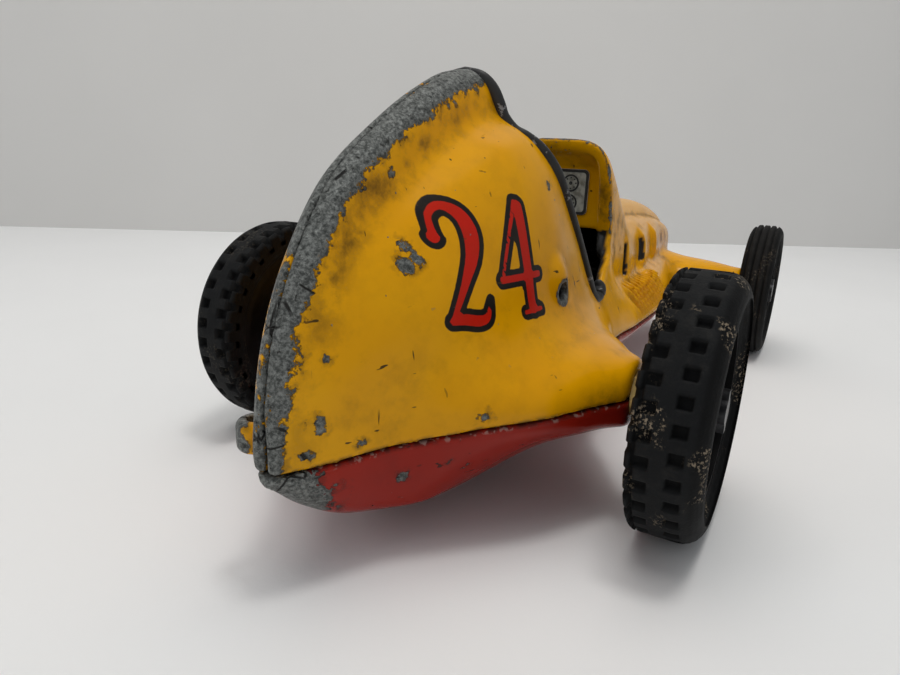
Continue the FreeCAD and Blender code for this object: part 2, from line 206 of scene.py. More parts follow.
FLATTEST = 0.05  # smallest squared slope that a vertex is pulled along
LONGEST_PULL = 0.3  # longest pull onto the surface, in pitches
PULLS = 2


class Grid:
    """Block of sample points; x runs ahead of the rear axle, y is half-width, z is height."""

    def __init__(self, pitch, x_range, y_range, z_range):
        self.pitch = pitch
        self.low = np.array([x_range[0], y_range[0], z_range[0]], float)
        spans = [np.arange(low, high + pitch, pitch) for low, high in (x_range, y_range, z_range)]
        self.x = spans[0][:, None, None]
        self.y = spans[1][None, :, None]
        self.z = spans[2][None, None, :]

    def scaled(self, field):
        """Field divided by its own slope, so that it reads about like a distance in mm."""
        field = np.broadcast_to(field, np.broadcast(self.x, self.y, self.z).shape)
        steep = np.sqrt(sum(g * g for g in np.gradient(field, self.pitch)))
        return field / np.maximum(steep, 1e-3)

    def sample(self, field, points):
        """Field at points, by linear interpolation."""
        at = (points - self.low) / self.pitch
        cell = np.clip(np.floor(at).astype(int), 0, np.array(field.shape) - 2)
        f = at - cell
        value = 0
        for corner in range(8):
            step = np.array([corner & 1, corner >> 1 & 1, corner >> 2 & 1])
            weight = np.prod(np.where(step, f, 1 - f), axis=1)
            i = cell + step
            value = value + weight * field[i[:, 0], i[:, 1], i[:, 2]]
        return value

    def surface(self, field):
        """Quad mesh where the field is zero, one vertex per crossed cell, pulled onto the surface."""
        inside = field < 0
        nx, ny, nz = (n - 1 for n in field.shape)
        corners = [(a, b, c) for a in (0, 1) for b in (0, 1) for c in (0, 1)]
        count = sum(inside[a:a + nx, b:b + ny, c:c + nz].astype(np.int8) for a, b, c in corners)
        cells = np.argwhere((count > 0) & (count < 8))
        number = np.full((nx, ny, nz), -1, np.int64)
        number[tuple(cells.T)] = np.arange(len(cells))
        total = np.zeros((len(cells), 3))
        hits = np.zeros(len(cells))
        for a in corners:
            for axis in range(3):
                if a[axis]:
                    continue
                b = list(a)
                b[axis] = 1
                fa = field[tuple((cells + a).T)]
                fb = field[tuple((cells + b).T)]
                crossed = (fa < 0) != (fb < 0)
                t = np.where(crossed, fa / np.where(crossed, fa - fb, 1), 0)
                point = np.tile(np.array(a, float), (len(cells), 1))
                point[:, axis] = t
                total += point * crossed[:, None]
                hits += crossed
        vertices = self.low + (cells + total / hits[:, None]) * self.pitch
        quads = []
        for axis in range(3):
            u, v = (axis + 1) % 3, (axis + 2) % 3
            ahead = [slice(None)] * 3
            behind = [slice(None)] * 3
            ahead[axis] = slice(1, None)
            behind[axis] = slice(None, -1)
            first, second = inside[tuple(behind)], inside[tuple(ahead)]
            for starts_inside in (True, False):
                edges = np.argwhere((first != second) & (first == starts_inside))
                keep = np.ones(len(edges), bool)
                for other in (u, v):
                    keep &= (edges[:, other] > 0) & (edges[:, other] < field.shape[other] - 1)
                edges = edges[keep & (edges[:, axis] < (nx, ny, nz)[axis])]
                ring = []
                for du, dv in ((-1, -1), (0, -1), (0, 0), (-1, 0)):
                    cell = edges.copy()
                    cell[:, u] += du
                    cell[:, v] += dv
                    ring.append(number[tuple(cell.T)])
                ring = np.stack(ring, 1)
                quads.append(ring if starts_inside else ring[:, ::-1])
        slopes = np.gradient(field, self.pitch)
        for _ in range(PULLS):
            value = self.sample(field, vertices)
            slope = np.stack([self.sample(g, vertices) for g in slopes], 1)
            move = slope * (value / np.maximum((slope ** 2).sum(1), FLATTEST))[:, None]
            length = np.linalg.norm(move, axis=1, keepdims=True)
            vertices = vertices - move * np.minimum(1, LONGEST_PULL * self.pitch / np.maximum(length, 1e-9))
        normals = np.stack([self.sample(g, vertices) for g in slopes], 1)
        normals /= np.maximum(np.linalg.norm(normals, axis=1, keepdims=True), 1e-9)
        return vertices, np.concatenate(quads), normals


# ---- mesh helpers
def new_mesh(name, vertices, faces, normals=None):
    """Object from vertices in row-frame mm, shaded smooth."""
    mesh = bpy.data.meshes.new(name)
    faces = np.asarray(faces, np.int32)
    mesh.vertices.add(len(vertices))
    mesh.vertices.foreach_set("co", (np.asarray(vertices) * MM).astype(np.float32).ravel())
    mesh.loops.add(faces.size)
    mesh.loops.foreach_set("vertex_index", faces.ravel())
    mesh.polygons.add(len(faces))
    mesh.polygons.foreach_set("loop_start", np.arange(0, faces.size, faces.shape[1], dtype=np.int32))
    mesh.update(calc_edges=True)
    mesh.validate()
    mesh.polygons.foreach_set("use_smooth", np.ones(len(mesh.polygons), bool))
    if normals is not None:
        mesh.normals_split_custom_set_from_vertices([tuple(n) for n in normals])
    return linked(name, mesh)


def close_mesh(piece):
    """Fills the open ends of a piece and makes its normals agree."""
    bm = bmesh.new()
    bm.from_mesh(piece.data)
    bmesh.ops.holes_fill(bm, edges=[e for e in bm.edges if e.is_boundary], sides=0)
    bmesh.ops.recalc_face_normals(bm, faces=bm.faces)
    bm.to_mesh(piece.data)
    bm.free()


def flat_mesh(name, vertices, faces):
    """Object from vertices in row-frame mm and faces of any kind, shaded flat."""
    mesh = bpy.data.meshes.new(name)
    mesh.from_pydata([(x * MM, y * MM, z * MM) for x, y, z in vertices], [], faces)
    piece = linked(name, mesh)
    close_mesh(piece)
    return piece


def ring_faces(turns, around):
    """Quads that join closed outlines, `around` points each, and the last outline to the first."""
    i = np.arange(turns)[:, None]
    j = np.arange(around)[None, :]
    k, m = (i + 1) % turns, (j + 1) % around
    return np.stack([i * around + j, i * around + m, k * around + m, k * around + j], -1).reshape(-1, 4)


def add_attributes(piece, **values):
    """Numbers on the vertices that the materials read; a single number fills the piece."""
    for name, value in values.items():
        layer = piece.data.attributes.new(name, "FLOAT", "POINT")
        layer.data.foreach_set("value", np.full(len(piece.data.vertices), value, np.float32))


# ---- body form
PITCH = 0.8
WALL = 2.4
SEAM_GAP = 0.20  # half the gap where castings meet
HALF_GAP = 0.05  # half the gap between the two upper castings
FOOT_GAP = 0.60  # how much wider it is at the right half's tail foot
REAR_BORE_R = 3.62
FRONT_BORE_R = 2.0

# Half outlines of tail, cockpit sides and lower ledge: station ahead of the rear axle,
# then (half-width, height) from the crown to the keel.
SECTIONS = [
    (-66.4, [(0, 35), (1.4, 33.4), (2.2, 31), (2.4, 29), (2.4, 27), (2.2, 25), (1.4, 23.4), (0, 22.2)]),
    (-64.0, [(0, 46.5), (2.6, 43.6), (3.4, 39), (3.8, 34), (3.9, 29), (3.6, 25), (2.4, 21.8), (0, 20.3)]),
    (-61.0, [(0, 54.5), (3.2, 51), (4.2, 45), (5.2, 38), (5.8, 31), (5.6, 25), (3.8, 19.6), (0, 17.4)]),
    (-57.5, [(0, 61.2), (3.5, 57.6), (4.7, 51), (6.3, 43), (7.6, 34), (7.7, 25.2), (5.2, 17), (0, 14.4)]),
    (-47.0, [(0, 74.6), (3.8, 71.4), (4.9, 63), (8.8, 56.4), (12.2, 44), (13.2, 26), (9.6, 12.4), (0, 8)]),
    (-35.0, [(0, 82.7), (3.9, 79.6), (5.4, 71.4), (11.8, 64.8), (17.8, 50),
             (20.6, 27.4), (15, 9.6), (0, 5.8)]),
    (-20.0, [(0, 90.5), (4.1, 87.4), (5.8, 79.2), (13.8, 73.2), (20.6, 58), (26, 28), (17, 9), (0, 5)]),
    (-8.0, [(0, 94.8), (4.6, 91.8), (6.6, 84), (15, 79), (21.6, 65), (27, 28), (17, 9.2), (0, 5.2)]),
    (2.0, [(0, 96.2), (5.8, 93), (8, 86.4), (15.6, 80.6), (21.6, 68), (28, 28), (16.6, 10.2), (0, 6.4)]),
    (10.0, [(0, 95.6), (8, 92), (13, 86), (19.8, 76), (22.2, 64), (28.6, 28), (16.5, 11), (0, 7.6)]),
    (28.0, [(0, 88), (14, 84.6), (20, 77), (22, 63), (24.8, 46), (29.3, 28), (16, 13), (0, 10)]),
    (44.0, [(0, 79), (12, 77), (18.6, 71), (21.4, 60), (24.4, 44), (29.3, 28), (15.5, 15), (0, 12.5)]),
    (58.0, [(0, 48), (9, 47), (16, 45), (20.6, 42), (25.4, 38), (30.3, 28), (15, 17), (0, 14.6)]),
    (82.0, [(0, 41.2), (9, 41), (16, 40.6), (21.4, 39.6), (26.6, 36.6), (30.4, 28), (15, 17.2), (0, 15)]),
    (104.0, [(0, 40.6), (8.6, 40.4), (15, 40), (20.4, 39), (24.8, 36.2),
             (28.2, 27.4), (14.5, 17.6), (0, 15.2)]),
    (140.0, [(0, 39.2), (7, 39), (12, 38.7), (16.4, 37.8), (20, 35.4), (22.4, 26.6), (13, 18.2), (0, 16)]),
    (170.0, [(0, 37.6), (5, 37.4), (9, 37), (12.4, 35.8), (15, 33.4),
             (16.6, 26.4), (11.4, 19.4), (0, 17.2)]),
    (181.0, [(0, 36.6), (4, 36.4), (7, 35.9), (9.6, 34.6), (11.6, 32), (12.6, 26.6), (9, 21.4), (0, 19.4)]),
    (185.2, [(0, 35.4), (2.6, 35.1), (4.6, 34.4), (6.4, 33), (7.8, 30.6), (8.2, 27.6), (6, 25), (0, 23.4)]),
]
TAIL_X = SECTIONS[0][0]
NOSE_X = SECTIONS[-1][0]
# Side view of the joint between upper castings and belly pan.
SEAM = [(-68, 24.2), (-64, 24.4), (-45, 25.4), (-30, 27.2), (-14, 28.5), (14, 28.5), (60, 28.0),
        (144, 26.2), (190, 26.2)]
# Axle fairings: half-width, fore-and-aft radius, height radius.
REAR_ARM = [(10, 43, 21), (20, 37.6, 17.6), (24, 34.4, 15.6), (28, 31, 13.4), (33, 26, 10.8),
            (37.7, 20, 9.2), (41, 14.2, 8.3), (44, 9.4, 7.9), (46, 7.2, 7.6)]
FRONT_ARM = [(6, 17, 11), (16, 15.4, 11), (25, 14, 10.2), (34, 12, 9.4), (40, 10.2, 8.6), (44, 9, 8),
             (48, 8.8, 7.7)]
REAR_ARM_END = 45.4
FRONT_ARM_END = 47.7
ARM_ROUND = 1.6
# Hood: station, half-width, top of the side panels, half-width of the dome, top of the dome.
HOOD = [(44, 21, 60, 18, 71), (60, 20.6, 58.5, 17, 70), (90, 19.4, 57.4, 14.6, 66),
        (123, 17, 55.4, 12.2, 62), (149, 14.8, 53, 10.6, 59.4), (172, 13, 49.4, 9.4, 55),
        (181, 11.4, 46.6, 8, 51.6), (185.2, 8.6, 43, 5.4, 46.4)]
HOOD_Z = 32.0  # level that the hood's rounded-box outline grows from
DOME_Z = 44.0
HOOD_FLOOR = 24.0
PANEL_POWER = 5  # how square the hood's rounded box is
CAVITY_NOSE = 181.0  # where the hollow ends ahead
# Cowl: station, height of its crown.
COWL = [(34, 83.0), (42, 82.6), (47, 81.4), (54, 76.4), (61, 70.0), (68, 63.6), (76, 56)]
COWL_HALF = 22.2
COWL_TAPER = 0.05
COWL_FLOOR = 40.0
COWL_Z = 50.0  # level that the cowl's rounded-box outline grows from
COWL_POWER = 6
# Louvres: where the slot is, and the heights of its ends.
LOUVRES = [(70.0, 41.0, 51.5), (99.0, 42.0, 50.0), (124.0, 42.0, 49.0)]
LOUVRE_STEP = 2.0
LOUVRE_LENGTH = 24.0  # how far ahead of its slot the step runs out
LOUVRE_SLOT = (0.85, 17.6, 1.7)  # half a slot's length, its inmost half-width and its depth
RIBS = (60.0, 104.0)
RIB_PITCH = 3.3
RIB_DEPTH = 1.5
RIB_SLANT = 0.5
# Slots of the grille: pitch, half a slot's width, half the grille's width, where they start, heights.
GRILLE_PITCH = 1.8
GRILLE_SLOT = 0.5
GRILLE_HALF = 5.2
GRILLE_X = 183.9
GRILLE_Z = (30.5, 42.5)
# Side view of the cockpit opening.
COCKPIT = [(-1.2, 112), (-0.6, 95.4), (1.2, 90), (2.6, 85.6), (4.6, 81), (9, 73), (16, 63.6), (22, 51.6),
           (26, 44.6), (30, 41.4), (35, 42.6), (41, 47), (47, 50.6), (49.8, 56.4), (46.6, 68),
           (42.8, 79.4), (42.2, 84), (42.2, 112)]
LIP_ROUND = 0.9
DASH_X = 51.2  # middle of the web that carries the instruments
DASH_HALF = 1.3
DASH_FLOOR = 57.2
# Raised boss and its hole in the right side.
BOSS = np.array([0.5, 24.0, 48.5])
BOSS_HOLE_R = 2.2
BOSS_RADII = (4.6, 4.2, 6.4)
BOSS_SINK = 0.9
BOSS_RISE = 1.2
BOSS_HOLE_FLOOR = 15.0  # half-width at which the hole ends
# Screws under the pan: pad's radius, middle and half height, head's radius and height, hole's radius.
PAD_R, PAD_MIDDLE, PAD_HALF = 4.6, 2.6, 1.7
HEAD_R, HEAD_TOP = 3.1, 1.6
SCREW_HOLE_R = 1.5

# ---- wear and print
# Side view of the tail's bare edge, and the width of bare metal on it by height.
TAIL_EDGE = [(-66.4, 18), (-66.4, 30), (-65, 40), (-62.6, 50), (-57.5, 61.2), (-50.6, 71), (-42.4, 78.2),
             (-30.6, 85.4), (-16, 92.2), (-8, 94.8), (0, 96.4)]
EDGE_BAND = [(20, 1.0), (32, 1.3), (45, 1.8), (60, 2.7), (75, 3.2), (87, 3.8), (97, 3.0)]
# Side view of the worn lip of the cowl.
COWL_LIP = [(41.8, 83.4), (43, 79.6), (46.6, 68), (49.8, 56.6)]
# Bare spots on the flanks: ahead of the rear axle, height, radius.
RIGHT_CHIPS = [(-40, 61.6, 0.8), (-41, 58.6, 1.3), (-39, 59.6, 1.3), (-59.4, 33.6, 0.9),
               (-59.3, 32.2, 0.9), (-61.6, 33, 0.5), (-33.4, 29.4, 0.6), (-16, 87, 0.8),
               (-13.5, 88, 0.7), (-22, 85, 0.8), (-36, 74, 0.6), (2.4, 71.5, 0.8), (-52.4, 27.6, 0.4),
               (-62, 27.4, 0.5), (-60.6, 26.8, 0.4), (-57, 64.4, 0.7), (-49, 66.5, 0.5), (-57, 44, 0.35)]
LEFT_CHIPS = [(-44, 60, 1.6), (-20, 40, 1.1), (-8, 84, 0.8), (70, 54, 1.0), (120, 52, 0.8), (-50, 30, 1.2)]
PAN_CHIPS = [(-44, 18.6, 0.9), (-37, 20.4, 0.4), (-33, 17.4, 0.35), (-54.4, 19.4, 0.7), (-53, 17.8, 0.6),
             (-56.4, 20.4, 0.5), (10, 22, 0.6), (60, 21, 0.5), (100, 23, 0.5)]
# Paint left on the bare crown of the tail.
PAINT_ISLANDS = [(-23.6, 90.2, 1.9), (-18.4, 92.4, 1.5), (-29.4, 87.4, 1.2)]
# Side view of the crease where the dome meets the hood's side panels.
HOOD_CREASE = [(64, 60.2), (90, 58.4), (123, 56), (149, 53.6), (170, 50)]
# Racing number, drawn with strokes of (x, z, half the width) in side view.
NUMBER = [
    [(-34.4, 63.3, 1.9), (-34.3, 63.7, 1.4), (-33.5, 66.8, 1.1), (-30.5, 68.5, 1.3), (-27.4, 66.8, 2.0),
     (-26.5, 63.3, 2.3), (-27.7, 59.1, 2.0), (-30.4, 54.8, 1.5), (-33.2, 50.4, 1.2), (-35.0, 47.5, 1.0)],
    [(-34.9, 47.7, 1.3), (-32.2, 47.7, 1.6), (-28.9, 47.0, 1.6), (-26.6, 47.5, 1.3), (-25.2, 50.6, 0.6)],
    [(-13.3, 68.7, 1.1), (-16.6, 62.6, 1.0), (-20.5, 54.6, 1.0)],
    [(-21.1, 53.8, 1.25), (-8.8, 53.8, 1.25)],
    [(-12.6, 67.8, 1.9), (-12.6, 47.3, 1.9)],
    [(-15.5, 46.6, 1.0), (-9.6, 46.6, 1.0)],
]
NUMBER_FLIP = -44.0


def hull_field(grid):
    """Tail, cockpit sides and lower ledge from the half outlines."""
    stations = [s[0] for s in SECTIONS]
    xs = grid.x.ravel()
    zs = grid.z.ravel()
    outlines = np.array([s[1] for s in SECTIONS], float)
    widths, heights = (
        np.stack([hermite(xs, stations, values) for values in outlines[:, :, k].T], 1) for k in (0, 1))
    square = np.empty((len(xs), len(zs)))
    for row, (width, height) in enumerate(zip(widths, heights)):
        square[row] = hermite(zs, height[::-1], (width * np.abs(width))[::-1])
    square = blurred(square, 2, (0, 1))
    return meet(grid.scaled(grid.y ** 2 - square[:, None, :]), TAIL_X - grid.x, grid.x - NOSE_X)


def arm_field(grid, axle, profile, end):
    """Fairing around one axle."""
    ys = np.abs(grid.y)
    reach, rx, rz = zip(*profile)
    rx = hermite(ys, reach, rx)
    rz = hermite(ys, reach, rz)
    dx = (grid.x - (axle[0] - REAR_AXLE[0])) / rx
    dz = (grid.z - axle[2]) / rz
    field = grid.scaled(np.sqrt(dx ** 2 + dz ** 2 + 1e-6) * np.minimum(rx, rz) - np.minimum(rx, rz))
    return -smooth_min(-field, end - ys, ARM_ROUND)


def hood_field(grid):
    """Hood side panels with louvre steps, and the dome along the top."""
    stations = [h[0] for h in HOOD]
    half, top, dome_half, dome_top = (hermite(grid.x, stations, [h[i] for h in HOOD]) for i in (1, 2, 3, 4))
    for start, low, high in LOUVRES:
        along = grid.x - start
        ramp = np.where(along > 0, np.clip(1 - along / LOUVRE_LENGTH, 0, 1), 0)
        band = smooth_step(grid.z, low - 4, low) * smooth_step(-grid.z, -high - 5, -high)
        half = half + LOUVRE_STEP * ramp * band
    panels = ((np.abs(grid.y) / half) ** PANEL_POWER
              + (np.maximum(grid.z - HOOD_Z, 0) / (top - HOOD_Z)) ** PANEL_POWER - 1)
    dome = (grid.y / dome_half) ** 2 + (np.maximum(grid.z - DOME_Z, 0) / (dome_top - DOME_Z)) ** 2 - 1
    panels, dome = (meet(grid.scaled(f), HOOD[0][0] - grid.x, grid.x - NOSE_X) for f in (panels, dome))
    return np.maximum(smooth_min(panels, dome, 0.9), HOOD_FLOOR - grid.z)


def cowl_field(grid):
    """Scuttle that stands up around the dashboard."""
    top = hermite(grid.x, [c[0] for c in COWL], [c[1] for c in COWL])
    half = COWL_HALF - COWL_TAPER * np.maximum(grid.x - 42, 0)
    field = ((np.abs(grid.y) / half) ** COWL_POWER
             + (np.maximum(grid.z - COWL_Z, 0) / np.maximum(top - COWL_Z, 4)) ** COWL_POWER - 1)
    return meet(grid.scaled(field), COWL_FLOOR - grid.z, COWL[0][0] - grid.x, grid.x - COWL[-1][0])


def body_fields(grid):
    """Outer form of the body and the hollow inside it."""
    upper = smooth_min(hood_field(grid), cowl_field(grid), 3.0)
    main = smooth_min(hull_field(grid), upper, 2.2)
    outer = smooth_min(main, arm_field(grid, REAR_AXLE, REAR_ARM, REAR_ARM_END), 6.0)
    outer = smooth_min(outer, arm_field(grid, FRONT_AXLE, FRONT_ARM, FRONT_ARM_END), 4.0)
    hollow = grid.scaled(blurred(main, 1, (0, 1, 2))) + WALL
    return outer, np.maximum(hollow, grid.x - CAVITY_NOSE)


def seam_height(x):
    return hermite(x, [p[0] for p in SEAM], [p[1] for p in SEAM])


def ribs(grid):
    """Fine ribs across the rounded flank of the ledge."""
    fade = smooth_step(grid.x, RIBS[0] - 1, RIBS[0] + 3) * smooth_step(-grid.x, -RIBS[1] - 1, -RIBS[1] + 3)
    fade = fade * smooth_step(grid.z, 28.8, 31) * smooth_step(-grid.z, -40.4, -38)
    fade = fade * smooth_step(np.abs(grid.y), 21, 23.5)
    return RIB_DEPTH * fade * np.cos(2 * np.pi * (grid.x + RIB_SLANT * (grid.z - 30)) / RIB_PITCH)


def boss_field(grid):
    """Raised boss round the hole in the right side."""
    offsets = (grid.x - BOSS[0], grid.y - BOSS[1] + BOSS_SINK, grid.z - BOSS[2] - BOSS_RISE)
    bump = np.sqrt(sum((offset / radius) ** 2 for offset, radius in zip(offsets, BOSS_RADII)))
    return (bump - 1) * BOSS_RADII[0]


def grille_slots(grid):
    across = np.abs((grid.y + GRILLE_PITCH / 2) % GRILLE_PITCH - GRILLE_PITCH / 2) - GRILLE_SLOT
    return meet(across, grid.y - GRILLE_HALF, GRILLE_X - grid.x, GRILLE_Z[0] - grid.z, grid.z - GRILLE_Z[1])


def louvre_slots(grid, outer):
    half, inmost, depth = LOUVRE_SLOT
    for start, low, high in LOUVRES:
        along = np.abs(grid.x - start + 0.2) - half
        yield meet(along, low - grid.z, grid.z - high, inmost - grid.y, -outer - depth)


def axle_bores(grid):
    return (cylinder(grid.x, grid.z - REAR_AXLE[2], REAR_BORE_R),
            cylinder(grid.x - FRONT_AHEAD, grid.z - FRONT_AXLE[2], FRONT_BORE_R))


def upper_casting(side):
    """One upper half of the body, its surface and wear values, on the given side of the car."""
    grid = Grid(PITCH, (-68.8, 187.4), (-1.6, 49.6), (22.6, 98.6))
    right = side < 0
    outer, hollow = body_fields(grid)
    outer = outer - ribs(grid)
    if right:
        outer = smooth_min(outer, boss_field(grid), 1.8)
    opening = polygon_distance(grid.x[:, 0], grid.z[0], COCKPIT)[:, None, :]
    web = meet(np.abs(grid.x - DASH_X) - DASH_HALF, DASH_FLOOR - grid.z, outer + 0.6)
    shell = np.minimum(cut_out(outer, hollow), web)
    shell = -smooth_min(-shell, opening, LIP_ROUND)
    shell = cut_out(shell, grille_slots(grid), *louvre_slots(grid, outer), *axle_bores(grid))
    gap = HALF_GAP
    if right:
        gap = gap + FOOT_GAP * smooth_step(-grid.z, -47, -26) * smooth_step(-grid.x, 52, 60)
        hole = cylinder(grid.x - BOSS[0], grid.z - BOSS[2], BOSS_HOLE_R)
        shell = cut_out(shell, np.maximum(hole, BOSS_HOLE_FLOOR - grid.y))
    shell = meet(shell, gap - grid.y, seam_height(grid.x) + SEAM_GAP - grid.z)
    name, chips = ("right_body_casting", RIGHT_CHIPS) if right else ("left_body_casting", LEFT_CHIPS)
    return finish_casting(name, grid, shell, outer, side, chips)


def pan_casting():
    """Red belly pan under both halves."""
    grid = Grid(PITCH, (-68.8, 187.4), (-49.6, 49.6), (3.2, 30.4))
    outer, hollow = body_fields(grid)
    shell = cut_out(outer, hollow, seam_height(grid.x) - SEAM_GAP - grid.z, *axle_bores(grid))
    for x, y, bottom in screw_places():
        around = cylinder(grid.x - x, grid.y - y, 0)
        pad = np.maximum(around - PAD_R, np.abs(grid.z - bottom - PAD_MIDDLE) - PAD_HALF)
        head = np.maximum(around - HEAD_R, grid.z - bottom - HEAD_TOP)
        shell = cut_out(np.minimum(shell, pad), head, around - SCREW_HOLE_R)
    return finish_casting("red_belly_pan", grid, shell, outer, 1, PAN_CHIPS)


def screw_places():
    """Middle ahead of the rear axle and across, and lowest point, in mm, of each body screw."""
    points = np.array([v.co for v in frame["nodes"]["body_screws"].data.vertices]) / MM
    for ahead in (False, True):
        for left in (False, True):
            group = points[((points[:, 0] > 0) == ahead) & ((points[:, 1] > 0) == left)]
            low, high = group.min(0), group.max(0)
            yield (low[0] + high[0]) / 2 - REAR_AXLE[0], (low[1] + high[1]) / 2, low[2]


def wear_distance(x, z, chips):
    """Distance in mm to the nearest bare metal: tail edge, pan foot and chips. Negative on it."""
    band = hermite(z, *zip(*EDGE_BAND))
    if chips is LEFT_CHIPS:
        band = band * (1 - 0.75 * smooth_step(-z, -70, -60) * smooth_step(z, 34, 40))
    wear = line_distance(x, z, TAIL_EDGE) - band
    for cx, cz, reach in PAINT_ISLANDS:
        wear = wear + 6.0 * np.exp(-((x - cx) ** 2 + (z - cz) ** 2) / reach ** 2)
    if chips is PAN_CHIPS:
        wear = np.minimum(wear, 0.9 * (x + 59.6 - 0.6 * (22 - z)))
    for cx, cz, radius in chips:
        wear = np.minimum(wear, 1.8 * (np.hypot(x - cx, z - cz) - radius))
    return wear


def painted_inner_shade(x, y, z, skin):
    """1 where painted shade turns the castings' inner faces and the louvre slots near black, 0 on the outside and
    on the dashboard.
    """
    dashboard_face = (z > 57.3) & (x > 34) & (x < 53.6)
    inner = np.where(dashboard_face, 0, smooth_step(-skin, 1.0, 1.6))
    for start, low, high in LOUVRES:
        slit = (np.abs(x - start) < 1.1) & (np.abs(y) > 17) & (skin < -0.3) & (z > low) & (z < high)
        inner = np.where(slit, 1, inner)
    return inner


def line_dirt_and_shade(grid, vertices):
    """Distance-like value that falls towards joints, hood crease and the valleys between ribs; between the ribs it
    carries painted shade, at the joints dark soiling.
    """
    x, y, z = vertices.T
    seam = np.abs(z - seam_height(x))
    shape = np.broadcast(grid.x, grid.y, grid.z).shape
    valleys = grid.sample(np.broadcast_to(ribs(grid), shape), vertices) / RIB_DEPTH
    crease = line_distance(x, z, HOOD_CREASE) + 0.3 + 9 * (y < 8)
    return np.minimum(np.minimum(seam, crease), np.maximum(1.6 + 3 * valleys, 0.05))


def finish_casting(name, grid, shell, outer, side, chips):
    """Mesh of one casting with its wear, painted-shade, soiling and print values; a side below 0 puts it on the
    right.
    """
    vertices, faces, normals = grid.surface(shell)
    x, y, z = vertices.T
    slopes = np.gradient(outer, grid.pitch)
    bend = blurred(sum(np.gradient(g, grid.pitch, axis=i) for i, g in enumerate(slopes)), 3, (0, 1, 2))
    soiled = 0.9 * smooth_step(y, 36, 45) * (x < 60)
    skin = grid.sample(outer, vertices)
    lip = line_distance(x, z, COWL_LIP) + 2 * smooth_step(-skin, 0.5, 1.1)
    wear = np.minimum(wear_distance(x, z, chips), 2.2 * (lip - 0.5 + 0.5 * np.cos(z * 0.6 - 47.0)))
    along = NUMBER_FLIP - x
    place = vertices + [REAR_AXLE[0], 0, 0]
    if side < 0:
        along = x
        boss = np.hypot(x - BOSS[0], z - BOSS[2]) - BOSS_HOLE_R - 1.1
        wear = np.minimum(wear, 4 * boss)
        place[:, 1] *= -1
        normals = normals * [1, -1, 1]
        faces = faces[:, ::-1]
    piece = new_mesh(name, place, faces, normals)
    # hollow rises in concave places, where the paint is darkened as painted shade; soiled adds real soiling near
    # the wheels.
    add_attributes(piece, hollow=np.clip(-grid.sample(bend, vertices) * 5 - 0.12 + soiled, 0, 1),
                   wear=np.clip(wear, -8, 30), number=np.clip(stroke_distance(along, z, NUMBER), -5, 5),
                   inside=painted_inner_shade(x, y, z, skin), seam=line_dirt_and_shade(grid, vertices))
    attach(piece, "chassis")
    return piece


# ---- tyres
TYRE_STEP = 0.36
REAR_SHOULDERS = (1.3, 4.8)  # inner and outer
FRONT_SHOULDERS = (3.2, 3.2)
INNER_TRIM = 0.8  # how far the inner shoulder stops short of the moulding's full width
TREAD_PITCHES = 34
STEPS_PER_PITCH = 13
FRONT_STEPS = 256
TREAD_BAND = 2.6  # depth of rubber that the notches are cut in
# Rows of notches in the rear tread: middle, width, turn in pitches, cut share of a pitch.
NOTCHES = [(-3.7, 2.6, 0.0, 0.46), (2.3, 2.7, 0.35, 0.46), (-6.7, 3.0, 0.42, 0.34)]
NOTCH_DEPTH = 1.5
GROOVE_Y = -5.15  # thin groove right round the rear tyres
GROOVE_HALF = 0.3
FRONT_GROOVES = 2.5  # waves over half the front tyre's width
FRONT_BAND = 1.8
FRONT_CUT = 1.0


def turned_grid(profile, steps):
    """Points of a (radius, offset) outline turned about Y: array [turn, profile, xyz]."""
    angles = 2 * np.pi * np.arange(steps) / steps
    radius = np.array([p[0] for p in profile])
    offset = np.array([p[1] for p in profile])
    points = np.empty((steps, len(profile), 3))
    points[:, :, 0] = radius * np.cos(angles)[:, None]
    points[:, :, 1] = offset
    points[:, :, 2] = radius * np.sin(angles)[:, None]
    return points


def resampled(corners, step):
    """Closed outline with points at most `step` mm apart."""
    points = []
    for (r0, y0), (r1, y1) in zip(corners, corners[1:] + corners[:1]):
        n = max(1, int(math.hypot(r1 - r0, y1 - y0) / step))
        points += [(r0 + (r1 - r0) * t / n, y0 + (y1 - y0) * t / n) for t in range(n)]
    return points


def tyre_outline(radius, half, inner, outer):
    """Section of a tyre; inner and outer are the sizes of its shoulders."""
    seat, bead = radius * 0.74, radius * 0.80
    near = half - INNER_TRIM
    outline = [(seat, -half * 0.7), (bead - 0.8, -half * 0.74), (bead, -half * 0.80)]
    outline += [(radius * 0.86, -near * 0.97), (radius * 0.90, -near)]
    for side, edge, shoulder in ((-1, near, inner), (1, half, outer)):
        turns = [math.pi / 2 * i / 6 for i in range(7)]
        bend = [(radius - shoulder * (1 - math.sin(a)), side * (edge - shoulder * (1 - math.cos(a))))
                for a in turns]
        outline += bend if side < 0 else bend[::-1]
    outline += [(radius * 0.86, half * 0.97), (radius * 0.82, half * 0.88), (bead, half * 0.78)]
    outline += [(bead - 0.8, half * 0.74), (seat, half * 0.7)]
    return outline


def block_tread(points, offset):
    """Cuts the staggered notches of the rear tyres into a turned grid of points."""
    steps = points.shape[0]
    turn = np.arange(steps)[:, None] / steps * TREAD_PITCHES
    cut = np.abs(offset - GROOVE_Y) < GROOVE_HALF
    for centre, width, phase, share in NOTCHES:
        across = np.abs(offset - centre) < width / 2
        cut = cut | (across & (np.abs((turn + phase) % 1.0 - 0.5) < share / 2))
    radius = np.hypot(points[:, :, 0], points[:, :, 2])
    factor = 1 - NOTCH_DEPTH * (cut & (radius > radius.max() - TREAD_BAND)) / radius
    points[:, :, 0] *= factor
    points[:, :, 2] *= factor


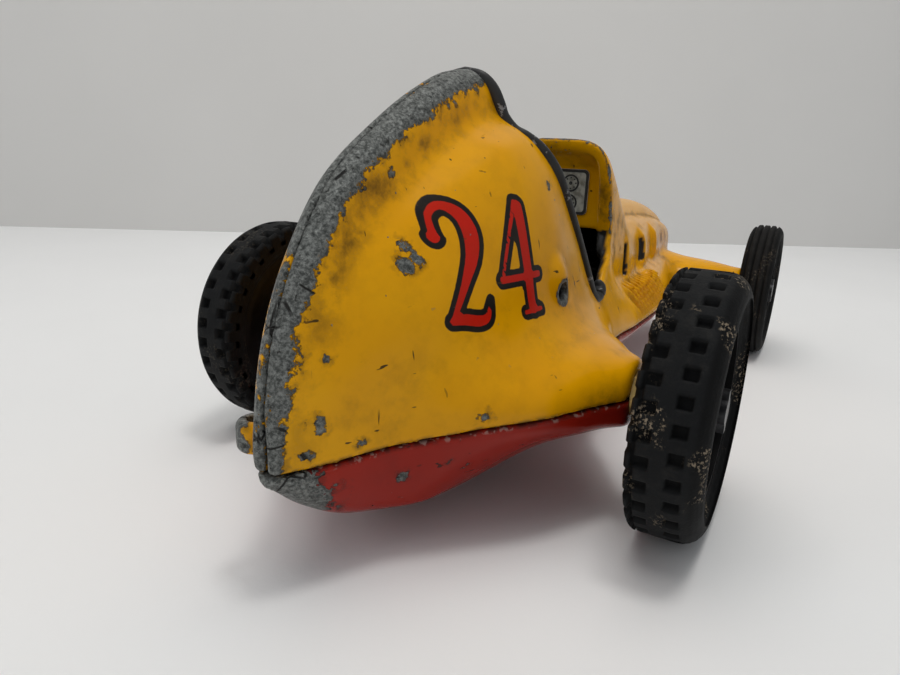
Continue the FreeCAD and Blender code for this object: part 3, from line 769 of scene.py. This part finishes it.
def rib_tread(profile, radius, half):
    """Cuts the round grooves of the front tyres into their outline."""
    grooved = []
    for r, y in profile:
        if r > radius - FRONT_BAND:
            wave = abs((y / half * FRONT_GROOVES + 0.5) % 1.0 - 0.5)
            r -= FRONT_CUT * smooth_step(wave, 0.30, 0.44)
        grooved.append((r, y))
    return grooved


def tyre(name, node, axle, rear):
    low, high = (np.array(c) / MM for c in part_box(node))
    radius = (high[2] - low[2]) / 2
    half = (high[1] - low[1]) / 2
    centre = np.array([axle[0], (low[1] + high[1]) / 2, axle[2]])
    shoulders = REAR_SHOULDERS if rear else FRONT_SHOULDERS
    profile = resampled(tyre_outline(radius, half, *shoulders), TYRE_STEP)
    if not rear:
        profile = rib_tread(profile, radius, half)
    points = turned_grid(profile, TREAD_PITCHES * STEPS_PER_PITCH if rear else FRONT_STEPS)
    if rear:
        block_tread(points, np.array([p[1] for p in profile]))
    side = 1 if centre[1] > 0 else -1
    points[:, :, 1] *= side
    faces = ring_faces(len(points), len(profile))
    if side < 0:
        faces = faces[:, ::-1]
    piece = new_mesh(name, points.reshape(-1, 3) + centre, faces)
    add_attributes(piece, depth=(radius - np.hypot(points[:, :, 0], points[:, :, 2])).ravel())
    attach(piece, "rear_axle_set" if rear else "front_wheel_set_" + ("left" if side > 0 else "right"))
    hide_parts(node)
    return piece


# ---- trim
# Middle line of one half of the cockpit's rim.
COAMING_PATH = [(-0.6, 0, 94.8), (-0.2, 3.6, 94.0), (0.6, 6.0, 91.8), (1.6, 7.4, 88.6), (2.2, 8.4, 85.8),
                (3, 10.8, 83.0), (4, 13.8, 81.4), (5.6, 16.8, 78.9), (8.2, 19.4, 74.6), (11, 20.7, 69.6),
                (15, 21.7, 63.4), (19.5, 22.6, 56.6), (24, 23.8, 48.8), (26.8, 24.6, 43.8),
                (29.2, 25.2, 41.6), (32, 25.3, 42.4), (33, 25.0, 44.4), (32, 24.5, 46.0)]
COAMING_HALF = 1.65  # half the rim's width across the edge
COAMING_THICK = 1.35
COAMING_AROUND = 20
COAMING_CURL = 5.0  # points over which each end of the rim closes
COAMING_LEAN = (0.85, 0, 0.5)  # direction that the rim's width stands square to


def coaming():
    """Rolled black rim, one strip from curl to curl over the head fairing."""
    half = spline_points(COAMING_PATH, 7)
    path = np.vstack([half[::-1] * [1, -1, 1], half[1:]])
    path[:, 0] += REAR_AXLE[0]
    tangents = np.gradient(path, axis=0)
    tangents /= np.linalg.norm(tangents, axis=1, keepdims=True)
    across = np.cross(tangents, COAMING_LEAN)
    across /= np.linalg.norm(across, axis=1, keepdims=True)
    out = np.cross(across, tangents)
    count = np.arange(len(path))
    end = np.minimum(count, count[::-1])
    swell = np.sqrt(1 - (1 - np.minimum(end / COAMING_CURL, 1)) ** 2)
    swell = swell * (1 + 0.18 * np.exp(-(end - 6) ** 2 / 14))
    swell = np.maximum(swell, 0.05)[:, None, None]
    angles = 2 * np.pi * np.arange(COAMING_AROUND)[:, None] / COAMING_AROUND
    rings = (path[:, None] + np.cos(angles) * across[:, None] * COAMING_HALF * swell
             + np.sin(angles) * out[:, None] * COAMING_THICK * swell)
    faces = ring_faces(len(path), COAMING_AROUND)[:-COAMING_AROUND]
    piece = new_mesh("rolled_cockpit_rim", rings.reshape(-1, 3), faces)
    close_mesh(piece)
    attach(piece, "chassis")
    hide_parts("cockpit_coaming")
    return piece


LUG_R = 3.7
LUG_HOLE_R = 1.6
LUG_PITCH = 0.3
LUG_TRIM = 0.9  # how much thinner than the CAD's lug on each face
LUG_DROP = 0.5
LUG_ROUND = 1.6
LUG_BAR = (2.8, 2.9, 7.4)  # half-width, half-height and length of the bar that joins it to the tail


def tether_lug():
    """Cast ear with a round hole beside the foot of the tail."""
    low, high = (np.array(corner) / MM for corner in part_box("tether_lug"))
    half = (high[2] - low[2]) / 2 - LUG_TRIM
    centre = np.array([low[0] + LUG_R, (low[1] + high[1]) / 2, (low[2] + high[2]) / 2 - LUG_DROP])
    grid = Grid(LUG_PITCH, (low[0] - 1, high[0] + 8), (low[1] - 7, high[1] + 1), (low[2] - 1, high[2] + 1))
    x, y, z = grid.x - centre[0], grid.y - centre[1], grid.z - centre[2]
    ring = -smooth_min(-cylinder(x, y, LUG_R - 0.1), half - 0.1 - np.abs(z), LUG_ROUND)
    wide, tall, length = LUG_BAR
    bar = np.sqrt(((y + 0.5 * x) / wide) ** 2 + (z / tall) ** 2) * wide - wide
    bar = meet(bar, -x, x - length)
    vertices, faces, normals = grid.surface(cut_out(smooth_min(ring, bar, 1.2), cylinder(x, y, LUG_HOLE_R)))
    piece = new_mesh("cast_tether_lug", vertices, faces, normals)
    wear = 1.1 * (centre[1] - 0.6 - vertices[:, 1]) + 0.8 * np.sin(vertices[:, 2] * 1.3)
    add_attributes(piece, wear=wear, hollow=0, number=5, inside=0, seam=9)
    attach(piece, "chassis")
    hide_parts("tether_lug")
    return piece


def rounded(y0, y1, z0, z1, radius):
    """Rectangle with round corners, as (y, z) points."""
    points = []
    for cy, cz, start in ((y1 - radius, z1 - radius, 0), (y0 + radius, z1 - radius, 90),
                          (y0 + radius, z0 + radius, 180), (y1 - radius, z0 + radius, 270)):
        for step in range(7):
            angle = math.radians(start + 15 * step)
            points.append((cy + radius * math.cos(angle), cz + radius * math.sin(angle)))
    return points


def circle(y, z, radius, steps=28):
    return [(y + radius * math.cos(2 * math.pi * i / steps), z + radius * math.sin(2 * math.pi * i / steps))
            for i in range(steps)]


def plate_piece(name, corners, back, thickness, bevel):
    """Thin plate from an outline [(y, z)], its back at x = back and its bevelled front towards -X."""
    n = len(corners)
    outline = np.array(corners, float)
    middle = outline.mean(0)
    inner = middle + (outline - middle) * (1 - bevel / np.abs(outline - middle).max())
    vertices = []
    for points, depth in ((outline, 0), (outline, -thickness + bevel), (inner, -thickness)):
        vertices += [(back + depth, y, z) for y, z in points]
    faces = ring_faces(3, n)[:-n].tolist()
    return flat_mesh(name, vertices, faces + [list(range(n))[::-1], list(range(2 * n, 3 * n))])


def ring_piece(name, outlines, back, thickness):
    """Flat rings between pairs of outlines with the same number of points."""
    vertices, faces = [], []
    for outer, inner in outlines:
        faces += (ring_faces(4, len(outer)) + len(vertices)).tolist()
        for points, depth in ((outer, 0), (outer, -thickness), (inner, -thickness), (inner, 0)):
            vertices += [(back + depth, y, z) for y, z in points]
    return flat_mesh(name, vertices, faces)


PLATE_THICK = 0.5
PRINT_THICK = 0.12
# Dials: across, height, radius.
DIALS = [(-8.6, 70.0, 2.5), (-8.4, 64.4, 2.5), (8.6, 70.0, 2.5), (8.4, 64.4, 2.5), (0, 67.4, 4.2)]
TABS_Y = (-5.0, 4.9)
TABS_Z = (63.4, 66.6, 69.8)


def dashboard():
    """Pale printed plate with plain dials and a dark border."""
    low, high = (np.array(corner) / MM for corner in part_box("instrument_panel"))

    def border(trim, radius):
        return rounded(low[1] + trim, high[1] - trim, low[2] + trim, high[2] - trim, radius)

    plate = plate_piece("instrument_plate", border(0, 1.6), high[0], PLATE_THICK, 0.12)
    outlines = [(border(0.1, 1.5), border(0.9, 0.9))]
    for y, z, radius in DIALS:
        outlines.append((circle(y, z, radius), circle(y, z, radius - 0.5)))
        outlines.append((circle(y, z, 0.5), circle(y, z, 0.1)))
        for tick in range(0, 360, 45):
            at_y = y + (radius - 0.95) * math.cos(math.radians(tick))
            at_z = z + (radius - 0.95) * math.sin(math.radians(tick))
            outlines.append((circle(at_y, at_z, 0.24, 8), circle(at_y, at_z, 0.05, 8)))
    for y in TABS_Y:
        for z in TABS_Z:
            outlines.append([rounded(y - half, y + half, z - half - 0.3, z + half + 0.3, radius)
                             for half, radius in ((0.8, 0.4), (0.4, 0.2))])
    print_lines = ring_piece("dial_print", outlines, high[0] - PLATE_THICK + 0.02, PRINT_THICK)
    for piece in (plate, print_lines):
        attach(piece, "chassis")
        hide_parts("instrument_panel")
    return plate, print_lines


# ---- materials
class Look:
    """A material and short ways to build its nodes. Sizes are in mm on the object."""

    def __init__(self, name):
        self.material = bpy.data.materials.new(name)
        self.material.use_nodes = True
        self.tree = self.material.node_tree
        self.shader = self.tree.nodes["Principled BSDF"]
        self.place = self.tree.nodes.new("ShaderNodeTexCoord").outputs["Object"]

    def put(self, value, socket):
        if hasattr(value, "is_output"):
            self.tree.links.new(value, socket)
        elif hasattr(value, "__len__") and len(socket.default_value) == 4:
            socket.default_value = (*value, 1)
        else:
            socket.default_value = value

    def node(self, kind, *inputs, **settings):
        node = self.tree.nodes.new("ShaderNode" + kind)
        for name, value in settings.items():
            setattr(node, name, value)
        for index, value in enumerate(inputs):
            if value is not None:
                self.put(value, node.inputs[index])
        return node

    def math(self, operation, a, b):
        return self.node("Math", a, b, operation=operation).outputs[0]

    def times(self, a, b):
        return self.math("MULTIPLY", a, b)

    def plus(self, a, b):
        return self.math("ADD", a, b)

    def less(self, a, b):
        return self.math("SUBTRACT", a, b)

    def most(self, a, b):
        return self.math("MAXIMUM", a, b)

    def noise(self, size, detail=3.0, stretch=(1, 1, 1), rough=0.5):
        place = self.place
        if stretch != (1, 1, 1):
            place = self.node("Mapping", place, None, None, stretch).outputs[0]
        node = self.node("TexNoise", place)
        node.inputs["Scale"].default_value = 1 / (size * MM)
        node.inputs["Detail"].default_value = detail
        node.inputs["Roughness"].default_value = rough
        return node.outputs["Fac"]

    def cells(self, size):
        """Distance to the edges of random cells."""
        node = self.node("TexVoronoi", self.place, feature="DISTANCE_TO_EDGE")
        node.inputs["Scale"].default_value = 1 / (size * MM)
        return node.outputs["Distance"]

    def ramp(self, value, low, high):
        return self.node("MapRange", value, low, high, interpolation_type="SMOOTHSTEP").outputs[0]

    def patches(self, size, detail, low, high, **settings):
        """0 to 1 where a noise rises from low to high."""
        return self.ramp(self.noise(size, detail, **settings), low, high)

    def mix(self, amount, a, b):
        """Colour between a and b."""
        node = self.node("Mix", data_type="RGBA")
        for value, index in ((amount, 0), (a, 6), (b, 7)):
            self.put(value, node.inputs[index])
        return node.outputs[2]

    def blend(self, amount, a, b):
        """Number between a and b."""
        node = self.node("Mix", data_type="FLOAT")
        for value, index in ((amount, 0), (a, 2), (b, 3)):
            self.put(value, node.inputs[index])
        return node.outputs[0]

    def attribute(self, name):
        return self.node("Attribute", attribute_name=name).outputs["Fac"]

    def bump(self, height, size, normal=None, strength=1.0):
        """Raises the surface by `size` mm where height is 1."""
        node = self.node("Bump", strength, size * MM)
        self.put(height, node.inputs["Height"])
        if normal is not None:
            self.put(normal, node.inputs["Normal"])
        return node.outputs[0]

    def finish(self, colour, rough, metal=0.0, normal=None, shine=0.5):
        self.shader.inputs["Specular IOR Level"].default_value = shine
        self.put(colour, self.shader.inputs["Base Color"])
        self.put(rough, self.shader.inputs["Roughness"])
        self.put(metal, self.shader.inputs["Metallic"])
        if normal is not None:
            self.put(normal, self.shader.inputs["Normal"])
        return self.material


FIGURE_RED = (0.54, 0.013, 0.004)
LINE_BLACK = (0.012, 0.010, 0.009)
DUST = (0.30, 0.24, 0.17)
# Pale pink for scuffs and a painted highlight along the pan's joint.
SCUFF_AND_HIGHLIGHT = (0.42, 0.28, 0.24)
CAST_DARK = (0.060, 0.064, 0.060)
CAST_LIGHT = (0.27, 0.28, 0.265)
PIT_BLACK = (0.025, 0.024, 0.022)
# Near-black painted shade for inner faces and louvre slots.
INNER_SHADE_BLACK = (0.020, 0.019, 0.017)


def printed_number(look, paint):
    """Red figures with a black outline over the paint."""
    figure = look.plus(look.attribute("number"), look.times(look.noise(1.1, 2), 0.14))
    paint = look.mix(look.ramp(figure, 0.72, 0.56), paint, LINE_BLACK)
    return look.mix(look.ramp(figure, -0.42, -0.58), paint, FIGURE_RED)


def grime_and_shade_cover(look, edge):
    """How much soiling and painted shade cover the paint: painted shade with some soiling in hollows and the
    valleys between ribs, darker along the hood crease, soiling beside bare metal and along joints.
    """
    # Painted shade in concave places, from the hollow value.
    hollow = look.plus(look.times(look.attribute("hollow"), 0.70), 0.12)
    grime_and_shade = look.times(hollow, look.patches(7, 5, 0.42, 0.72, rough=0.65))
    beside = look.times(look.ramp(edge, 3.2, 0.2), look.patches(2.4, 4, 0.42, 0.66))
    # Darker along joints and the hood crease, and painted shade in the valleys between ribs.
    seam = look.times(look.ramp(look.attribute("seam"), 1.5, 0.1), look.patches(2.0, 3, 0.34, 0.60))
    return look.most(look.most(grime_and_shade, look.times(beside, 0.55)), look.times(seam, 0.9))


def enamel(name, deep, light, dirt_and_shade, printed):
    """Old glossy paint over a rough grey casting, with painted shade in its hollows and rib valleys and near-black
    painted shade on its inner faces.
    """
    look = Look(name)
    ragged = look.times(look.less(look.noise(3.6, 5, rough=0.62), 0.5), 7.0)
    fine = look.times(look.less(look.noise(0.9, 2), 0.5), 1.6)
    edge = look.plus(look.plus(look.attribute("wear"), ragged), fine)
    pecks = look.times(look.patches(1.7, 2, 0.735, 0.75), look.patches(26, 2, 0.45, 0.6))
    bare = look.most(look.ramp(edge, 0.12, -0.12), pecks)
    paint = look.mix(look.noise(22, 3), deep, light)
    if printed:
        paint = printed_number(look, paint)
    # Painted shade: the paint darkens in hollows and between ribs, mixed with real soiling.
    grime_and_shade = grime_and_shade_cover(look, edge)
    paint = look.mix(grime_and_shade, paint, dirt_and_shade)
    streaks = look.most(look.patches(2.2, 2, 0.715, 0.745, stretch=(0.12, 1, 1.9)),
                        look.patches(1.9, 2, 0.72, 0.745, stretch=(1.7, 1, 0.14)))
    scratch = look.times(streaks, look.patches(13, 2, 0.44, 0.56))
    paint = look.mix(scratch, paint, dirt_and_shade)
    if not printed:
        # Pale scuffs along the pan's joint, partly a painted highlight on its edge.
        scuff_and_highlight = look.times(look.ramp(look.attribute("seam"), 1.3, 0.5), look.patches(1.6, 3, 0.56, 0.62))
        paint = look.mix(look.times(scuff_and_highlight, 0.6), paint, SCUFF_AND_HIGHLIGHT)
    paint = look.mix(look.times(look.ramp(edge, 0.55, 0.1), 0.8), paint, [c * 0.25 for c in dirt_and_shade])
    pits = look.patches(1.5, 4, 0.60, 0.72, rough=0.7)
    cracks = look.times(look.ramp(look.cells(5.0), 0.05, 0.012), look.patches(7, 2, 0.56, 0.64))
    dark = look.most(look.times(pits, 0.75), cracks)
    cast = look.mix(look.patches(0.9, 6, 0.36, 0.68, rough=0.75), CAST_DARK, CAST_LIGHT)
    cast = look.mix(dark, cast, PIT_BLACK)
    # Painted shade: inner faces and louvre slots go near black, darker than the bare casting.
    colour = look.mix(look.attribute("inside"), look.mix(bare, paint, cast), INNER_SHADE_BLACK)
    sheen = look.blend(look.noise(12, 3), 0.13, 0.25)
    rough = look.blend(bare, look.blend(grime_and_shade, sheen, 0.5), 0.46)
    peel = look.bump(look.noise(5.5, 2), 0.10, strength=0.35)
    grain = look.times(look.less(look.noise(0.8, 4), look.times(dark, 1.2)), bare)
    film = look.less(1.0, look.most(bare, look.times(scratch, 0.4)))
    normal = look.bump(film, 0.14, look.bump(grain, 0.55, peel))
    return look.finish(colour, rough, look.times(bare, 0.4), normal, 0.17)


def rubber(name, tint, dirt_amount):
    """Aged matt rubber with painted shade darkening its grooves, dust on the raised tread and specks of dry mud.
    """
    look = Look(name)
    base = look.mix(look.noise(6, 4), [c * 0.7 for c in tint], [c * 1.5 for c in tint])
    shaded_groove = look.ramp(look.attribute("depth"), 0.35, 1.1)
    dusty = look.times(look.less(1.0, shaded_groove), look.patches(4, 5, 0.45, 0.8, rough=0.7))
    # Painted shade: deep tread goes almost black.
    base = look.mix(look.times(shaded_groove, 0.75), base, (0.0015, 0.0015, 0.0015))
    colour = look.mix(look.times(dusty, 0.30), base, (0.040, 0.038, 0.034))
    specks = look.times(look.patches(0.8, 4, 0.53, 0.60, rough=0.7), look.patches(12, 2, 0.55, 0.63))
    mud = look.times(specks, dirt_amount)
    colour = look.mix(mud, colour, DUST)
    rough = look.blend(look.noise(3, 3), 0.62, 0.85)
    normal = look.bump(mud, 0.2, look.bump(look.noise(0.5, 4), 0.10))
    return look.finish(colour, rough, 0.0, normal, 0.16)


def painted_black(name, chip_level, base_low, base_high, shine):
    """Black lacquer worn to grey metal in places."""
    look = Look(name)
    chipped = look.patches(2.6, 5, chip_level, chip_level + 0.02, rough=0.65)
    base = look.mix(look.noise(5, 4), [base_low] * 3, [base_high] * 3)
    colour = look.mix(chipped, base, (0.26, 0.26, 0.26))
    rough = look.blend(chipped, look.blend(look.noise(4, 3), 0.30, 0.52), 0.45)
    normal = look.bump(look.less(1.0, chipped), 0.10, look.bump(look.noise(1.1, 4), 0.08))
    return look.finish(colour, rough, look.times(chipped, 0.6), normal, shine)


def metal(name, dark, bright, rough, stretch=(1, 1, 1)):
    """Machined or stamped metal with tarnish."""
    look = Look(name)
    lines = look.noise(0.5, 2, stretch)
    colour = look.mix(look.patches(3.5, 4, 0.35, 0.7), bright, dark)
    finish = look.blend(lines, rough * 0.7, rough * 1.4)
    return look.finish(colour, finish, 0.9, look.bump(lines, 0.03))


def print_look(name, pale):
    look = Look(name)
    if pale:
        colour = look.mix(look.patches(2.2, 4, 0.42, 0.7), (0.50, 0.49, 0.42), (0.22, 0.21, 0.17))
    else:
        colour = look.mix(look.noise(1.4, 3), (0.012, 0.012, 0.012), (0.05, 0.048, 0.045))
    rough = look.blend(look.noise(3, 3), 0.35, 0.6)
    return look.finish(colour, rough, 0.0, look.bump(look.noise(1.2, 3), 0.04))


def stage_look(name, low, high, size):
    look = Look(name)
    colour = look.mix(look.noise(size, 3), low, high)
    return look.finish(colour, 0.55, 0.0, look.bump(look.noise(1.2, 3), 0.03))


def dress(piece, material):
    piece.data.materials.clear()
    piece.data.materials.append(material)


# ---- studio
WALL_A = (-0.35, 1.21)  # two points on the floor line of the wall, in metres
WALL_B = (0.95, -0.74)
WALL_SPREAD = 2.0  # how far the wall runs on past both points
WALL_HEIGHT = 2.2
FLOOR_HALF = 3.0


def add_quad(name, corners, material):
    """Flat piece of the studio from four corners in metres."""
    piece = new_mesh(name, np.array(corners) / MM, [(0, 1, 2, 3)])
    piece.data.materials.append(material)


def add_stage():
    floor = [(a * FLOOR_HALF, b * FLOOR_HALF, 0) for a, b in ((-1, -1), (1, -1), (1, 1), (-1, 1))]
    add_quad("floor", floor, stage_look("white_table", (0.77, 0.77, 0.765), (0.81, 0.81, 0.805), 90))
    a, b = np.array(WALL_A), np.array(WALL_B)
    along = (b - a) / np.linalg.norm(b - a)
    a, b = a - along * WALL_SPREAD, b + along * WALL_SPREAD
    wall = [(*a, 0), (*b, 0), (*b, WALL_HEIGHT), (*a, WALL_HEIGHT)]
    add_quad("wall", wall, stage_look("pale_wall", (0.65, 0.64, 0.62), (0.71, 0.70, 0.68), 160))


def add_light(name, place, aim, size, power, colour=(1, 1, 1), reflected=True):
    data = bpy.data.lights.new(name, "AREA")
    data.shape = "RECTANGLE"
    data.size, data.size_y = size
    data.energy = power
    data.color = colour
    light = linked(name, data)
    light.visible_glossy = reflected
    light.location = place
    light.rotation_euler = (Vector(aim) - Vector(place)).to_track_quat("-Z", "Y").to_euler()


WARM = (1.0, 0.985, 0.96)
ROOM = (0.93, 0.96, 1.0, 1)


def add_lights():
    """Broad ceiling light that leaves no reflection, a small lamp that does, and a window on the left."""
    add_light("ceiling", (0.0, 0.05, 0.95), (0, 0, 0), (0.9, 0.7), 4.3, WARM, False)
    add_light("lamp", (-0.04, -0.12, 0.95), (0, 0, 0), (0.15, 0.15), 1.7, WARM)
    add_light("left_window", (-0.85, 0.75, 0.7), (0, 0, 0.05), (0.5, 0.5), 1.1)
    world = bpy.data.worlds.new("room")
    world.use_nodes = True
    background = world.node_tree.nodes["Background"]
    background.inputs["Color"].default_value = ROOM
    background.inputs["Strength"].default_value = 0.40
    bpy.context.scene.world = world
    bpy.context.scene.view_settings.view_transform = "Standard"


# ---- assembly
def main():
    yellow = enamel("yellow_enamel", (0.67, 0.283, 0.0005), (0.82, 0.400, 0.0008),
                    (0.070, 0.038, 0.005), True)
    red = enamel("red_enamel", (0.26, 0.010, 0.0045), (0.36, 0.019, 0.008), (0.050, 0.011, 0.007), False)
    right, left, pan = upper_casting(-1), upper_casting(1), pan_casting()
    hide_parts("body_shell_right")
    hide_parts("body_shell_left")
    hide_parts("belly_pan")
    for piece in (right, left):
        dress(piece, yellow)
    dress(pan, red)
    dress(tether_lug(), yellow)
    dress(coaming(), painted_black("worn_black_trim", 0.60, 0.012, 0.050, 0.25))
    plate, lines = dashboard()
    dress(plate, print_look("dial_paper", True))
    dress(lines, print_look("dial_ink", False))
    rear_rubber = {side: rubber("rear_rubber_" + side, (0.0065, 0.0070, 0.0075), mud)
                   for side, mud in (("left", 0.12), ("right", 0.9))}
    front_rubber = rubber("front_rubber", (0.0075, 0.0070, 0.0065), 0.2)
    for side in ("left", "right"):
        rear = tyre("rear_tread_" + side, "rear_tyre_" + side, REAR_AXLE, True)
        front = tyre("front_tread_" + side, "front_tyre_" + side, FRONT_AXLE, False)
        dress(rear, rear_rubber[side])
        dress(front, front_rubber)
    dress_frame()


def dress_frame():
    """Materials for the CAD parts that stay in view."""
    looks = {
        "black_wheel": painted_black("black_wheel_paint", 0.74, 0.003, 0.012, 0.08),
        "dark_metal": metal("dark_spinner", (0.03, 0.03, 0.032), (0.12, 0.12, 0.125), 0.42),
        "axle_steel": metal("drawn_steel", (0.16, 0.14, 0.12), (0.50, 0.49, 0.47), 0.34, (1, 0.1, 1)),
        "bush_brass": metal("old_brass", (0.16, 0.10, 0.035), (0.55, 0.38, 0.14), 0.36),
        "zinc_screw": metal("zinc", (0.20, 0.20, 0.20), (0.52, 0.53, 0.54), 0.38),
        "gear_brass": metal("gear_brass_cut", (0.24, 0.16, 0.05), (0.66, 0.47, 0.19), 0.30),
        "flywheel_iron": metal("turned_iron", (0.07, 0.065, 0.06), (0.26, 0.25, 0.24), 0.42),
        "plate_steel": metal("stamped_plate", (0.18, 0.175, 0.165), (0.46, 0.46, 0.45), 0.40, (1, 1, 0.1)),
    }
    for part in frame["record"]["subparts"]:
        node = frame["nodes"][part["node"]]
        if part["material_slot"] in looks:
            node.data.materials.clear()
            node.data.materials.append(looks[part["material_slot"]])


add_camera()
main()
add_stage()
add_lights()
